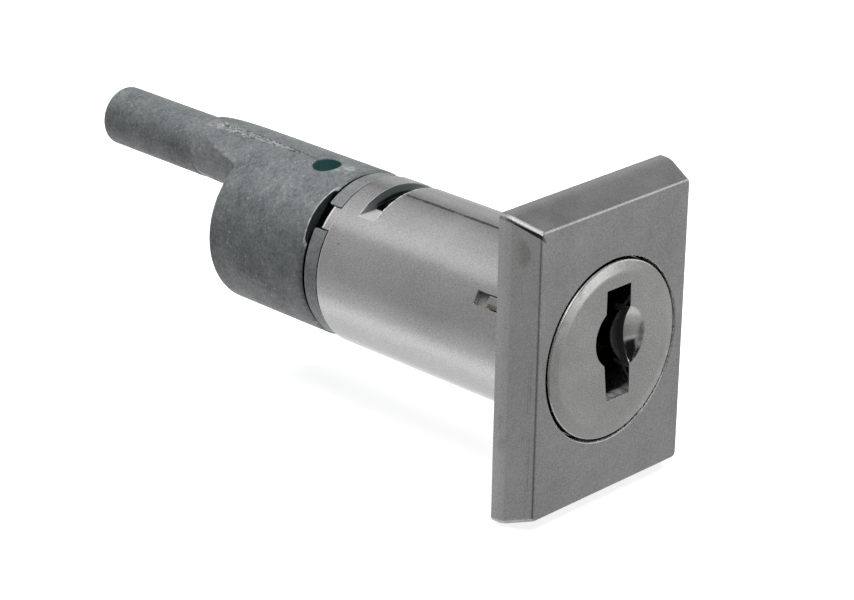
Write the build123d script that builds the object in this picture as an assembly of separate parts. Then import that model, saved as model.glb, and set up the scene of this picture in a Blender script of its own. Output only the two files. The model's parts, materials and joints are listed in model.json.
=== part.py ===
from build123d import *
from math import atan2, cos, degrees, pi, radians, sin, sqrt
import os

# Furniture lock with an eccentric pin at its rear, in millimetres.
# Seen from the front, X points right and Z up, and Y runs back through the panel.
# The origin is on the lock's axis, in the rear face of the front plate, where the panel begins.
# Angles across the lock are counted from +X towards +Z.

# Running gaps between the pieces
turning_clearance = 0.05
sliding_clearance = 0.05
seat_clearance = 0.05
face_clearance = 0.05
overcut = 1.0  # how far a cutting shape stands out of the piece it cuts

# Housing: the plated barrel
housing_diameter = 19.0
housing_length = 29.15
housing_wall = 1.8
rear_wall = 1.1
rear_edge = 0.15
seat_relief = 0.2  # how much smaller its radius is inside the front plate
flange_step = 0.4
flange_thickness = 1.0
clip_groove_depth = 0.85
clip_groove_length = 6.85
slot_sink = 2.0  # depth of the flat slot floor below the top of the barrel
slot_length = 2.3
slot_to_end = 2.75
retaining_groove_depth = 0.4
retaining_groove_step = 0.5  # how far the groove runs on behind the slot
lug_angles = (127.4, 144.1)
lug_depth = 1.75
lug_length = 1.3
lug_edge = 0.3
lug_step = 0.1  # how much lower it lies than the barrel
channel_gap = 0.12
channel_side_gap = 0.15

# Front plate
plate_width = 25.0
plate_height = 34.0
plate_thickness = 4.7
plate_rim = 1.2  # straight edge next to the panel
slope_share = 0.46  # part of the margin beside the opening that the sloping edge takes
plate_corner = 0.5
plate_shoulder = 0.3
plate_edge = 0.2
flange_gap = 0.1
opening_edge = 0.12
collar_depth = 2.0  # length of the narrower bore that holds the housing
clip_angles = (150.0, 30.0)
clip_width = 1.3
clip_height = 0.75
clip_reach = 5.2
clip_gap = 0.10

# Core: the turning plug and its round face
head_gap = 0.3
head_proud = 0.27  # how far the face stands out of the front plate
head_bevel = 1.3
head_bevel_depth = 0.25
dog_height = 3.4
dog_length = 1.9
dog_shoulder = 1.0

# Keyway, seen from the front
keyway_left = -1.35
keyway_right = 2.3
keyway_foot_left = -0.85
keyway_foot_right = 2.7
keyway_top_land = 0.75
keyway_bottom_land = 2.1
keyway_bow_reach = -2.85  # how far left the bowed middle goes
keyway_bow_height = 1.5
keyway_bow_span = 2.85  # half of the bow's height
ward_reach = 1.5  # how far left the rib on the keyway's right side goes
ward_height = 0.7
ward_span = 3.9  # half of the rib's height
ward_relief_radius = 6.7  # the rib's front is milled away in an arc
ward_relief_depth = 1.8
keyway_end_wall = 0.9
dish_centre = (1.25, 0.9)
dish_radius = 3.55
dish_depth = 1.1

# Wafers
wafer_codes = (1, 3, 0, 2, 1, 3, 2)
code_step = 0.35
first_wafer = 1.8
last_wafer_gap = 7.0  # from the last wafer to the retaining wafer
wafer_thickness = 0.9
wafer_cheek = 3.45  # what the core keeps on each side of a wafer
tip_shoulder = 1.35
wafer_travel = 0.7
window_side = 1.05
window_height = 8.6
window_land = 4.05
arm_reach = 2.1
arm_height = 1.0
arm_top = -1.8
retainer_thickness = 1.4
retainer_place = 0.3  # from the front of the housing's slot
retainer_engagement = 0.35

# Coil springs of the wafers
spring_diameter = 1.4
spring_wire = 0.25
spring_turns = 4
spring_sides = 6
spring_end_gap = 0.15
spring_inset = 0.85  # from the end of the wafer's arm
pocket_gap = 0.12
pocket_top = 2.6

# Stop ring
ring_step = 0.2
ring_seat = 0.15
ring_thickness = 1.9
ring_notch_gap = 0.16
ring_notch_corner = 0.35
track_depth = 1.1
track_rim = 1.8
ring_bore_gap = 0.08

# Drive spindle
bearing_shoulder = 2.7
spindle_flange_gap = 0.3
dog_end_gap = 0.1
dog_clearance = 0.1

# Driver with its eccentric pin
turn_angle = 180.0
driver_step = 0.05
driver_gap = 0.35
driver_length = 14.95
driver_front_edge = 0.3
driver_rear_edge = 0.25
rim_bevel_angle = 136.0  # the front rim slopes away next to the housing's lug
rim_bevel_reach = 0.9
rim_bevel_depth = 0.6
pin_diameter = 6.9
pin_sink = 0.05  # how far the pin's top lies below the drum's
pin_length = 25.0
pin_edge = 0.4
root_growth = 1.9
root_length = 9.5
root_overlap = 0.05  # how far the pin reaches into the root
spindle_reach = 7.5
spindle_end_gap = 0.2
stop_lug_half_angle = 15.0
stop_lug_gap = 0.1
stop_gap_angle = 1.0
cross_hole_diameter = 3.2
cross_hole_place = 4.85
cross_hole_turn = 5.3  # how far the hole leans to the left, in degrees
cross_pin_gap = 0.02
cross_pin_sink = 1.95

# Places and sizes that follow from the ones above
housing_radius = housing_diameter / 2
seat_radius = housing_radius - seat_relief
bore_radius = housing_radius - housing_wall
flange_radius = housing_radius + flange_step
flange_rear = -collar_depth
flange_front = flange_rear - flange_thickness
rear_wall_front = housing_length - rear_wall
slot_rear = housing_length - slot_to_end
slot_front = slot_rear - slot_length
slot_floor = housing_radius - slot_sink
groove_radius = bore_radius + retaining_groove_depth
groove_rear = slot_rear + retaining_groove_step
clip_floor = housing_radius - clip_groove_depth

plate_front = -plate_thickness
opening_radius = flange_radius + flange_gap
collar_radius = housing_radius + seat_clearance
plate_inset = slope_share * (plate_width / 2 - opening_radius)

core_radius = bore_radius - turning_clearance
head_radius = opening_radius - head_gap
head_front = plate_front - head_proud
head_rear = flange_front - face_clearance
spindle_flange_rear = rear_wall_front - face_clearance
spindle_front = spindle_flange_rear - dog_shoulder
core_rear = spindle_front - dog_end_gap
keyway_rear = core_rear - keyway_end_wall
keyway_top = core_radius - keyway_top_land
keyway_bottom = keyway_bottom_land - core_radius

half_wafer = core_radius - wafer_cheek
half_tip = half_wafer - tip_shoulder
half_window = half_wafer - window_side
window_top = core_radius - window_land
wafer_tip = sqrt(core_radius**2 - half_tip**2)
wafer_edge = sqrt(core_radius**2 - half_wafer**2)
channel_top = wafer_tip + wafer_travel + channel_gap
retainer_front = slot_front + retainer_place
wafer_pitch = (retainer_front - last_wafer_gap - first_wafer) / (len(wafer_codes) - 1)
wafer_fronts = [first_wafer + i * wafer_pitch for i in range(len(wafer_codes))]
spring_side = half_wafer + arm_reach - spring_inset
half_pocket = (spring_diameter + spring_wire) / 2 + pocket_gap

spindle_radius = bore_radius - bearing_shoulder
spindle_flange_radius = bore_radius - spindle_flange_gap
half_dog = spindle_radius - dog_shoulder
ring_radius = housing_radius - ring_step
ring_front = housing_length + ring_seat
ring_rear = ring_front + ring_thickness
track_radius = ring_radius - track_rim
driver_radius = housing_radius - driver_step
driver_front = ring_rear + driver_gap
driver_rear = driver_front + driver_length
pin_radius = pin_diameter / 2
eccentricity = driver_radius - pin_radius - pin_sink
pin_rear = driver_rear + pin_length
root_rear = driver_rear + root_length
spindle_rear = driver_front + spindle_reach
cross_hole_depth = driver_front + cross_hole_place
stop_lug_front = driver_front - driver_gap - track_depth + stop_lug_gap


def across(depth):
    # the plane across the lock at a depth behind the panel's face, with X and Z as its own axes
    return Plane.XZ.offset(-depth)


def prism(outline, front, rear):
    # an outline across the lock, carried back from one depth to another
    return extrude(across(front) * outline, amount=front - rear)


def disc(radius, front, rear):
    return prism(Circle(radius), front, rear)


def block(left, right, bottom, top, front, rear):
    outline = Pos((left + right) / 2, (bottom + top) / 2) * Rectangle(right - left, top - bottom)
    return prism(outline, front, rear)


def ring_sector(inner, outer, start, stop):
    # a piece of a flat ring between two angles
    outer_arc = CenterArc((0, 0), outer, start, stop - start)
    inner_arc = CenterArc((0, 0), inner, start, stop - start)
    sides = Line(outer_arc @ 0, inner_arc @ 0) + Line(outer_arc @ 1, inner_arc @ 1)
    return make_face(outer_arc + sides + inner_arc)


def radial_block(angle, width, inner, outer, front, rear):
    outline = Rot(0, 0, angle) * Pos((inner + outer) / 2, 0) * Rectangle(outer - inner, width)
    return prism(outline, front, rear)


def cross_rod(radius, half_length):
    # a round rod across the lock's axis, at the place of the driver's cross hole
    return Pos(0, cross_hole_depth, 0) * Rot(0, -cross_hole_turn, 0) * Cylinder(radius, 2 * half_length)


def edges_at(piece, depth):
    return piece.edges().filter_by_position(Axis.Y, depth - 0.001, depth + 0.001)


def round_edges_at(piece, depth):
    return edges_at(piece, depth).filter_by(GeomType.CIRCLE)


def plate_level(depth, inset):
    # outline of the front plate at one depth, with its corners taken off
    outline = Rectangle(plate_width - 2 * inset, plate_height - 2 * inset)
    return across(depth) * chamfer(outline.vertices(), plate_corner)


def make_rosette():
    # bevelled plate: a straight edge next to the panel, a slope with mitred corners and a flat face
    slope = plate_inset / (plate_thickness - plate_rim)
    levels = [
        plate_level(0, 0),
        plate_level(plate_shoulder - plate_rim, 0),
        plate_level(-plate_shoulder - plate_rim, slope * plate_shoulder),
        plate_level(plate_front + plate_edge, plate_inset - slope * plate_edge),
        plate_level(plate_front, plate_inset + plate_edge),
    ]
    plate = loft(levels, ruled=True)
    # stepped bore: wide for the core's head and the housing's flange, narrow for the barrel
    plate -= disc(opening_radius, plate_front, flange_rear)
    plate -= disc(collar_radius, flange_rear, 0)
    plate = chamfer(round_edges_at(plate, plate_front), opening_edge)
    # tabs that clip into the grooves of the housing
    inner = clip_floor + clip_gap
    for angle in clip_angles:
        plate += radial_block(angle, clip_width, inner, collar_radius + clip_gap, flange_rear, 0)
        plate += radial_block(angle, clip_width, inner, inner + clip_height, 0, clip_reach)
    return plate


def make_housing():
    body = disc(housing_radius, 0, housing_length) + disc(seat_radius, flange_rear, 0)
    body = chamfer(round_edges_at(body, housing_length), rear_edge)
    body += disc(flange_radius, flange_front, flange_rear)
    body -= disc(bore_radius, flange_front, rear_wall_front)
    body -= disc(groove_radius, slot_front, groove_rear)
    # channels for the wafers above and below the bore
    channel = half_tip + channel_side_gap
    body -= block(-channel, channel, -channel_top, channel_top, flange_front, groove_rear)
    # chordal slot across the top
    top = housing_radius + overcut
    body -= block(-housing_radius, housing_radius, slot_floor, top, slot_front, slot_rear)
    # bearing for the spindle in the rear wall
    body -= disc(spindle_radius + turning_clearance, rear_wall_front, housing_length)
    # grooves for the clips of the front plate
    width = clip_width + 2 * clip_gap
    for angle in clip_angles:
        body -= radial_block(angle, width, clip_floor, top, flange_rear, clip_groove_length)
    # lug on the rear edge that holds the stop ring
    lug_rear = housing_length + lug_length
    lug = ring_sector(housing_radius - lug_depth, housing_radius - lug_step, *lug_angles)
    lug = prism(lug, housing_length - rear_edge, lug_rear)
    tip = edges_at(lug, lug_rear).sort_by(SortBy.LENGTH)[-1]
    return body + chamfer(tip, lug_edge)


def keyway_outline():
    # the opening in the face, with its bow on the left
    bow_top = keyway_bow_height + keyway_bow_span
    bow_bottom = keyway_bow_height - keyway_bow_span
    bow = ThreePointArc(
        (keyway_left, bow_top), (keyway_bow_reach, keyway_bow_height), (keyway_left, bow_bottom)
    )
    top = Line((keyway_left, keyway_top), (keyway_right, keyway_top))
    foot = Line((keyway_foot_left, keyway_bottom), (keyway_foot_right, keyway_bottom))
    outline = top + bow + foot + Line(top @ 1, foot @ 1)
    outline += Line(top @ 0, bow @ 0)
    outline += Line(bow @ 1, foot @ 0)
    return make_face(outline)


def ward_outline():
    # section of the rib that narrows the keyway from its right side
    right = keyway_foot_right + overcut
    top = (right, ward_height + ward_span)
    middle = (ward_reach, ward_height)
    bottom = (right, ward_height - ward_span)
    return make_face(ThreePointArc(top, middle, bottom) + Line(bottom, top))


def turned_over(piece, number):
    # every second wafer and its spring lie the other way up, half a turn about the lock's axis
    return Rot(0, 180, 0) * piece if number % 2 else piece


def wafer_room(front, thickness):
    # the room that one wafer, its arm and its spring take in the core
    slot_start = front - sliding_clearance
    slot_stop = front + thickness + sliding_clearance
    middle = front + thickness / 2
    half = half_wafer + sliding_clearance
    reach = half + arm_reach
    outside = core_radius + overcut
    room = block(-half, half, -outside, outside, slot_start, slot_stop)
    room += block(half, reach, -outside, arm_top + sliding_clearance, slot_start, slot_stop)
    pocket_front, pocket_rear = middle - half_pocket, middle + half_pocket
    left, right = spring_side - half_pocket, spring_side + half_pocket
    return room + block(left, right, arm_top, pocket_top, pocket_front, pocket_rear)


def make_core():
    head = disc(head_radius, head_front, head_rear)
    head = chamfer(round_edges_at(head, head_front), head_bevel_depth, head_bevel)
    core = head + disc(core_radius, head_rear, core_rear)
    half_height = dog_height / 2
    core += block(-half_dog, half_dog, -half_height, half_height, core_rear, core_rear + dog_length)
    # hollow beside the keyway that guides the key in
    ball_radius = (dish_radius**2 + dish_depth**2) / (2 * dish_depth)
    ball_depth = head_front + dish_depth - ball_radius
    core -= Pos(dish_centre[0], ball_depth, dish_centre[1]) * Sphere(ball_radius)
    # keyway, with a rib along its right side that starts behind a milled relief
    core -= prism(keyway_outline(), head_front, keyway_rear) - make_ward()
    for number, front in enumerate(wafer_fronts):
        core -= turned_over(wafer_room(front, wafer_thickness), number)
    return core - wafer_room(retainer_front, retainer_thickness)


def make_ward():
    ward = prism(ward_outline(), head_front, keyway_rear)
    cutter_depth = head_front + ward_relief_depth - ward_relief_radius
    cutter = Cylinder(ward_relief_radius, 4 * keyway_foot_right)
    return ward - Pos(0, cutter_depth, ward_height) * Rot(0, 90, 0) * cutter


def wafer_plate(front, thickness, tip, shoulder, code, arm_drop):
    # one flat tumbler: body, key window, tips and the arm that its spring pushes
    rear = front + thickness
    plate = block(-half_wafer, half_wafer, -shoulder, shoulder, front, rear)
    plate += block(-half_tip, half_tip, -tip, tip, front, rear)
    top = arm_top - arm_drop
    plate += block(half_wafer, half_wafer + arm_reach, top - arm_height, top, front, rear)
    window = window_top + code * code_step
    return plate - block(-half_window, half_window, window - window_height, window, front, rear)


def make_wafer(number):
    front = wafer_fronts[number]
    shoulder = wafer_edge - wafer_travel
    wafer = wafer_plate(front, wafer_thickness, wafer_tip, shoulder, wafer_codes[number], 0)
    return turned_over(wafer, number)


def make_retaining_wafer():
    # wider at its ends than the channels, and at rest it stands out into the groove round the bore
    rear = retainer_front + retainer_thickness
    wafer = wafer_plate(
        retainer_front, retainer_thickness, wafer_edge, wafer_edge, 0, retainer_engagement
    )
    low = -wafer_edge - retainer_engagement
    return wafer + block(-half_wafer, half_wafer, low, -wafer_edge, retainer_front, rear)


def coil(middle, bottom, top):
    # one unbroken wire, wound in straight parts of a turn
    low = bottom + spring_end_gap
    rise = top - spring_end_gap - low
    steps = spring_turns * spring_sides
    radius = spring_diameter / 2
    points = []
    for step in range(steps + 1):
        angle = 2 * pi * step / spring_sides
        side = spring_side + radius * cos(angle)
        points.append((side, middle + radius * sin(angle), low + rise * step / steps))
    path = Polyline(*points)
    section = Plane(origin=path @ 0, z_dir=path % 0) * Rectangle(spring_wire, spring_wire)
    return sweep(section, path=path, transition=Transition.RIGHT)


def make_spring(number):
    middle = wafer_fronts[number] + wafer_thickness / 2
    return turned_over(coil(middle, arm_top, pocket_top), number)


def make_retaining_spring():
    middle = retainer_front + retainer_thickness / 2
    return coil(middle, arm_top - retainer_engagement, pocket_top)


def make_stop_ring():
    ring = disc(ring_radius, ring_front, ring_rear)
    ring -= disc(spindle_radius + ring_bore_gap, ring_front, ring_rear)
    # notch round the housing's lug
    gap_angle = degrees(atan2(ring_notch_gap, housing_radius))
    start, stop = lug_angles[0] - gap_angle, lug_angles[1] + gap_angle
    inner = housing_radius - lug_depth - ring_notch_gap
    notch = ring_sector(inner, housing_radius + overcut, start, stop)
    ring -= prism(notch, ring_front, ring_rear)
    ring = fillet(edges_at(ring, ring_rear).filter_by(GeomType.LINE), ring_notch_corner)
    # track for the driver's stop lug
    half_track = turn_angle - 90 + stop_lug_half_angle + stop_gap_angle
    track = ring_sector(spindle_radius - overcut, track_radius, -half_track, half_track)
    return ring - prism(track, ring_rear - track_depth, ring_rear)


def make_spindle():
    spindle = disc(spindle_flange_radius, spindle_front, spindle_flange_rear)
    spindle += disc(spindle_radius, spindle_flange_rear, spindle_rear)
    half_width = half_dog + dog_clearance
    half_height = dog_height / 2 + dog_clearance
    slot_end = core_rear + dog_length + dog_clearance
    spindle -= block(-half_width, half_width, -half_height, half_height, spindle_front, slot_end)
    return spindle - cross_rod(cross_hole_diameter / 2, spindle_radius + overcut)


def rim_bevel():
    # what the slope on the driver's front rim takes away
    direction = radians(rim_bevel_angle)
    radial = (cos(direction), 0, sin(direction))
    level = Plane(origin=(0, 0, 0), x_dir=radial, z_dir=(-sin(direction), 0, cos(direction)))
    start = driver_radius - rim_bevel_reach
    stop = driver_radius + rim_bevel_reach
    low = driver_front - rim_bevel_depth
    corners = [(start - rim_bevel_reach, low), (stop, driver_front + 2 * rim_bevel_depth), (stop, low)]
    return extrude(level * make_face(Polyline(*corners, close=True)), amount=driver_radius, both=True)


def make_root():
    # conical root that slants down from the drum's top to the pin, cut off by the drum's own outline
    slope = root_growth / root_length
    start = driver_rear - root_growth
    stop = root_rear + root_growth
    front_growth = slope * (root_rear - start)
    run = Vector(0, stop - start, slope * (start - stop))
    level = Plane(origin=(0, start, eccentricity + front_growth), z_dir=run)
    cone = Cone(
        pin_radius + front_growth,
        pin_radius - slope * root_growth,
        run.length,
        align=(Align.CENTER, Align.CENTER, Align.MIN),
    )
    return (level * cone) & disc(driver_radius, driver_rear - driver_rear_edge, root_rear)


def make_driver():
    drum = disc(driver_radius, driver_front, driver_rear)
    drum = chamfer(round_edges_at(drum, driver_front), driver_front_edge)
    drum = chamfer(round_edges_at(drum, driver_rear), driver_rear_edge)
    pin = prism(Pos(0, eccentricity) * Circle(pin_radius), root_rear - root_overlap, pin_rear)
    pin = chamfer(round_edges_at(pin, pin_rear), pin_edge)
    driver = drum - rim_bevel() + make_root() + pin
    bore_rear = spindle_rear + spindle_end_gap
    driver -= disc(spindle_radius + turning_clearance, driver_front, bore_rear)
    # stop lug that runs in the ring's track
    lug = ring_sector(
        spindle_radius + ring_bore_gap,
        track_radius - ring_bore_gap,
        90 - stop_lug_half_angle,
        90 + stop_lug_half_angle,
    )
    driver += prism(lug, stop_lug_front, driver_front)
    return driver - cross_rod(cross_hole_diameter / 2, driver_radius + overcut)


def make_driver_pin():
    return cross_rod(cross_hole_diameter / 2 - cross_pin_gap, driver_radius - cross_pin_sink)


parts = {
    "rosette": make_rosette(),
    "housing": make_housing(),
    "lock_core": make_core(),
    "retaining_wafer": make_retaining_wafer(),
    "retaining_spring": make_retaining_spring(),
    "stop_ring": make_stop_ring(),
    "drive_spindle": make_spindle(),
    "driver": make_driver(),
    "driver_pin": make_driver_pin(),
}
for number in range(len(wafer_codes)):
    parts[f"wafer_{number + 1}"] = make_wafer(number)
    parts[f"wafer_spring_{number + 1}"] = make_spring(number)

os.makedirs("parts", exist_ok=True)
for name, piece in parts.items():
    piece.label = name
    export_step(piece, f"parts/{name}.step")
    print(name, "solids", len(piece.solids()), "volume", round(piece.volume, 1))
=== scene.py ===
import bmesh
import bpy
import json
from math import cos, hypot, pi, radians, sin
from mathutils import Matrix, Vector

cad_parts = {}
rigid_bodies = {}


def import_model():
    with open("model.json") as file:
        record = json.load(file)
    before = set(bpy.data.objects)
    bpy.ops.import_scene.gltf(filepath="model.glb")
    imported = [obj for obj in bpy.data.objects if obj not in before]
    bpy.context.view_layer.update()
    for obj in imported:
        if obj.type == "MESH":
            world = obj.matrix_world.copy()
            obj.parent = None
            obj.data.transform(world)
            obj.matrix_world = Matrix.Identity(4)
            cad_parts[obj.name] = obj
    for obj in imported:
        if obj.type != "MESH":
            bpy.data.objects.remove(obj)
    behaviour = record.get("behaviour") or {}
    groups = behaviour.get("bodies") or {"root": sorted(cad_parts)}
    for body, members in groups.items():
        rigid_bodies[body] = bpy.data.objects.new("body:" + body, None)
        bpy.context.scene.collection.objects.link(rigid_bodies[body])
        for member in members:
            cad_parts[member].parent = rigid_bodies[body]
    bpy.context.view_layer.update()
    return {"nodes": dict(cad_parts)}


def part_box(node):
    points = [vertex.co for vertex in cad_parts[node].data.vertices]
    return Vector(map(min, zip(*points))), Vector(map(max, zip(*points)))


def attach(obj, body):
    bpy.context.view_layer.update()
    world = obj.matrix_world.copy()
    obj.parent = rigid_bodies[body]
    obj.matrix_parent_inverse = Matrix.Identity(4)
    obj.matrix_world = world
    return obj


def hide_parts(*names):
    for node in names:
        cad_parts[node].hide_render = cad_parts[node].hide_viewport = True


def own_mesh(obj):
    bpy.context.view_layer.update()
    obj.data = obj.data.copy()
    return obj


# Furniture lock: plated front plate, barrel and turning face, raw cast driver with its eccentric pin.
# The lock's axis lies along Y and its panel face is at y = 0. Sizes in the dictionaries are in mm.

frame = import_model()
nodes = frame["nodes"]
dressed = {}  # the finer piece that stands for a CAD node
mm = 0.001
print("loaded", len(nodes), "CAD nodes")


# Shader maths: a number that changes over a surface, with the usual operators
class Amount:
    def __init__(self, finish, socket):
        self.finish = finish
        self.socket = socket

    def sum(self, operation, first, second=0.0):
        return self.finish.node("ShaderNodeMath", {"operation": operation}, {0: first, 1: second})

    def __add__(self, other):
        return self.sum("ADD", self, other)

    def __radd__(self, other):
        return self.sum("ADD", other, self)

    def __sub__(self, other):
        return self.sum("SUBTRACT", self, other)

    def __rsub__(self, other):
        return self.sum("SUBTRACT", other, self)

    def __mul__(self, other):
        return self.sum("MULTIPLY", self, other)

    def __rmul__(self, other):
        return self.sum("MULTIPLY", other, self)

    def __pow__(self, other):
        return self.sum("POWER", self, other)

    def most(self, other):
        return self.sum("MAXIMUM", self, other)

    def off(self, other):
        # how far one amount is from another, whichever is larger
        return self.sum("ABSOLUTE", self - other)


class Finish:
    # one material or world, and the nodes it is made of
    def __init__(self, owner):
        self.owner = owner
        owner.use_nodes = True
        self.tree = owner.node_tree

    def node(self, kind, settings=None, values=None, output=0):
        made = self.tree.nodes.new(kind)
        settings = dict(settings or {})
        stops = settings.pop("stops", None)
        for name, value in settings.items():
            setattr(made, name, value)
        if stops:
            ramp = made.color_ramp
            ramp.interpolation = "EASE"
            while len(ramp.elements) < len(stops):
                ramp.elements.new(1.0)
            for element, (place, tone) in zip(ramp.elements, stops):
                element.position = place
                element.color = (*grey(tone), 1)
        for name, value in (values or {}).items():
            if isinstance(value, Amount):
                self.tree.links.new(value.socket, made.inputs[name])
            elif isinstance(value, tuple) and len(value) == 3 and made.inputs[name].type == "RGBA":
                made.inputs[name].default_value = (*value, 1)
            else:
                made.inputs[name].default_value = value
        return None if output is None else Amount(self, made.outputs[output])

    def place(self, stretch=(1, 1, 1), shift=(0, 0, 0)):
        # the object's own coordinates in mm, stretched for grain that runs one way
        coordinates = self.node("ShaderNodeTexCoord", output="Object")
        scale = tuple(1000 * each for each in stretch)
        values = {"Vector": coordinates, "Scale": scale, "Location": shift}
        return self.node("ShaderNodeMapping", None, values)

    def parts(self, vector):
        return [self.node("ShaderNodeSeparateXYZ", None, {0: vector}, output=i) for i in range(3)]

    def axes(self):
        return self.parts(self.place())

    def noise(self, size, detail=3.0, rough=0.55, stretch=(1, 1, 1), shift=(0, 0, 0)):
        values = {"Vector": self.place(stretch, shift), "Scale": 1 / size, "Detail": detail, "Roughness": rough}
        return self.node("ShaderNodeTexNoise", None, values)

    def cells(self, size, shift=(0, 0, 0)):
        # how far a point is from the nearest of many scattered middles
        values = {"Vector": self.place(shift=shift), "Scale": 1 / size}
        return self.node("ShaderNodeTexVoronoi", None, values)

    def between(self, amount, low, high, bottom=0.0, top=1.0):
        # a soft step from bottom at low to top at high
        values = {"Value": amount, "From Min": low, "From Max": high, "To Min": bottom, "To Max": top}
        return self.node("ShaderNodeMapRange", {"interpolation_type": "SMOOTHSTEP"}, values)

    def until(self, amount, low, high):
        # 1 up to low, falling softly to 0 at high
        return self.between(amount, low, high, 1.0, 0.0)

    def window(self, amount, start, stop, soft):
        # 1 from start to stop, falling softly to 0 on both sides
        return self.between(amount, start - soft, start) * self.until(amount, stop, stop + soft)

    def mixed(self, share, colourA, colourB):
        values = {0: share, 6: colourA, 7: colourB}
        return self.node("ShaderNodeMix", {"data_type": "RGBA"}, values, output=2)

    def bump(self, height, strength, distance):
        values = {"Height": height, "Strength": strength, "Distance": distance}
        return self.node("ShaderNodeBump", None, values)

    def show(self, colour, rough, metallic, normal):
        shader = self.tree.nodes["Principled BSDF"]
        values = {"Base Color": colour, "Roughness": rough, "Metallic": metallic, "Normal": normal}
        for name, value in values.items():
            if isinstance(value, Amount):
                self.tree.links.new(value.socket, shader.inputs[name])
            else:
                shader.inputs[name].default_value = value
        return self.owner


def newFinish(name):
    return Finish(bpy.data.materials.new(name))


def grey(tone):
    return (tone, tone, tone)


def wear(names, material):
    # gives a material to CAD nodes and to the finer pieces that stand for them
    for name in names:
        for piece in (nodes[name], dressed.get(name)):
            if piece:
                piece.data.materials.clear()
                piece.data.materials.append(material)


# Camera: where it stands, in mm from the lock's origin, and how it is turned, in degrees
viewpoint = {
    "place": (-219.215, -188.512, 125.267),
    "azimuth": 46.209,
    "elevation": 22.821,
    "roll": 1.055,
    "lens": 128.283,
    "sensor": 36.0,
}


def makeCamera():
    azimuth, elevation, roll = (radians(viewpoint[key]) for key in ("azimuth", "elevation", "roll"))
    ahead = Vector((sin(azimuth) * cos(elevation), cos(azimuth) * cos(elevation), -sin(elevation)))
    right = Vector((cos(azimuth), -sin(azimuth), 0))
    up = right.cross(ahead)
    rolledRight = cos(roll) * right + sin(roll) * up
    rolledUp = cos(roll) * up - sin(roll) * right
    bpy.ops.object.camera_add()
    camera = bpy.context.object
    camera.data.sensor_width = viewpoint["sensor"]
    camera.data.sensor_fit = "HORIZONTAL"
    camera.data.lens = viewpoint["lens"]
    turned = Matrix((rolledRight, rolledUp, -ahead)).transposed().to_4x4()
    camera.matrix_world = Matrix.Translation(Vector(viewpoint["place"]) * mm) @ turned
    bpy.context.scene.camera = camera


makeCamera()
print("camera set")


# Studio: a pale floor, a soft lamp and the room that the metal reflects.
# Round tones go by the angle round the lock's axis, from +X towards +Z, and front tones by height.
studio = {
    "floorHeight": -17.3,
    "floorSize": 3000.0,
    "floorColour": (0.80, 0.80, 0.80),
    "floorRough": 0.9,
    "floorGlow": 0.78,
    "lampPlace": (-260.0, -120.0, 480.0),
    "lampAim": (0.0, 30.0, 0.0),
    "lampSize": 420.0,
    "lampPower": 0.4,
    "roundTones": (
        (0.00, 0.50),
        (0.060, 0.58),
        (0.100, 0.42),
        (0.125, 0.22),
        (0.150, 0.42),
        (0.240, 0.62),
        (0.315, 0.79),
        (0.345, 0.72),
        (0.372, 0.42),
        (0.530, 0.38),
        (0.600, 0.55),
        (0.670, 1.04),
        (0.740, 0.84),
        (0.810, 0.80),
        (0.870, 1.05),
        (1.00, 0.60),
    ),
    "frontTones": (
        (0.00, 0.80),
        (0.09, 0.78),
        (0.125, 0.50),
        (0.25, 0.34),
        (0.35, 0.33),
        (0.38, 0.55),
        (0.41, 0.38),
        (0.56, 0.27),
        (0.64, 0.20),
        (0.80, 0.40),
        (1.00, 0.70),
    ),
    "softTones": (
        (0.00, 10.0),
        (0.07, 9.5),
        (0.12, 0.06),
        (0.50, 0.04),
        (0.87, 0.06),
        (0.92, 2.6),
        (1.00, 2.8),
    ),
}

# Shapes that the metal mirrors, by their direction: x to the right, y to the back and z up, from -1 to 1.
# A pair is where a soft step starts and ends, and three numbers are a band and how soft its sides are.
mirrorShapes = {
    "dark": 0.01,
    "right": (0.38, 0.62),  # x where the paler right side begins
    "rightLow": (-0.62, -0.12, 0.2),  # z
    "rightLowTone": 0.43,
    "rightHigh": (-0.02, 0.5, 0.08),  # z
    "rightHighTone": 1.1,
    "darkShapeX": (0.0, 0.3, 0.06),
    "darkShapeZ": (-0.14, 0.45, 0.05),
    "postX": (-0.7, -0.15, 0.1),
    "postZ": (-0.7, -0.1, 0.1),
    "postStrength": 0.55,
    "glint": (0.6, -0.785, -0.14),  # its direction
    "glintEdge": (0.984, 0.994),
    "glintTone": 1.35,
    "lamp": (-0.2, -0.84, 0.49),  # its direction
    "lampEdge": (0.93, 0.98),
    "lampTone": 2.3,
    "side": (-0.2, 0.35, 0.12),  # y
    "strip": (0.20, 0.36, 0.02),  # as round tones
    "stripTone": 1.3,
    "wall": (0.385, 0.50, 0.02),
    "wallStrength": 0.95,
    "behind": (0.82, 0.90),  # y
    "behindTone": 1.1,
    "frontToSide": (-0.24, -0.02),  # y
}


def makeFloor():
    bpy.ops.mesh.primitive_plane_add(size=studio["floorSize"] * mm, location=(0, 0, studio["floorHeight"] * mm))
    floor = bpy.context.object
    floor.name = "floor"
    paper = newFinish("paper")
    isCamera = paper.node("ShaderNodeLightPath", output="Is Camera Ray")
    plain = paper.tree.nodes["Principled BSDF"]
    plain.inputs["Base Color"].default_value = (*studio["floorColour"], 1)
    plain.inputs["Roughness"].default_value = studio["floorRough"]
    glow = isCamera * studio["floorGlow"]
    paper.tree.links.new(glow.socket, plain.inputs["Emission Strength"])
    plain.inputs["Emission Color"].default_value = (1, 1, 1, 1)
    floor.data.materials.append(paper.owner)
    floor.visible_glossy = False
    floor.visible_diffuse = False


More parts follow.
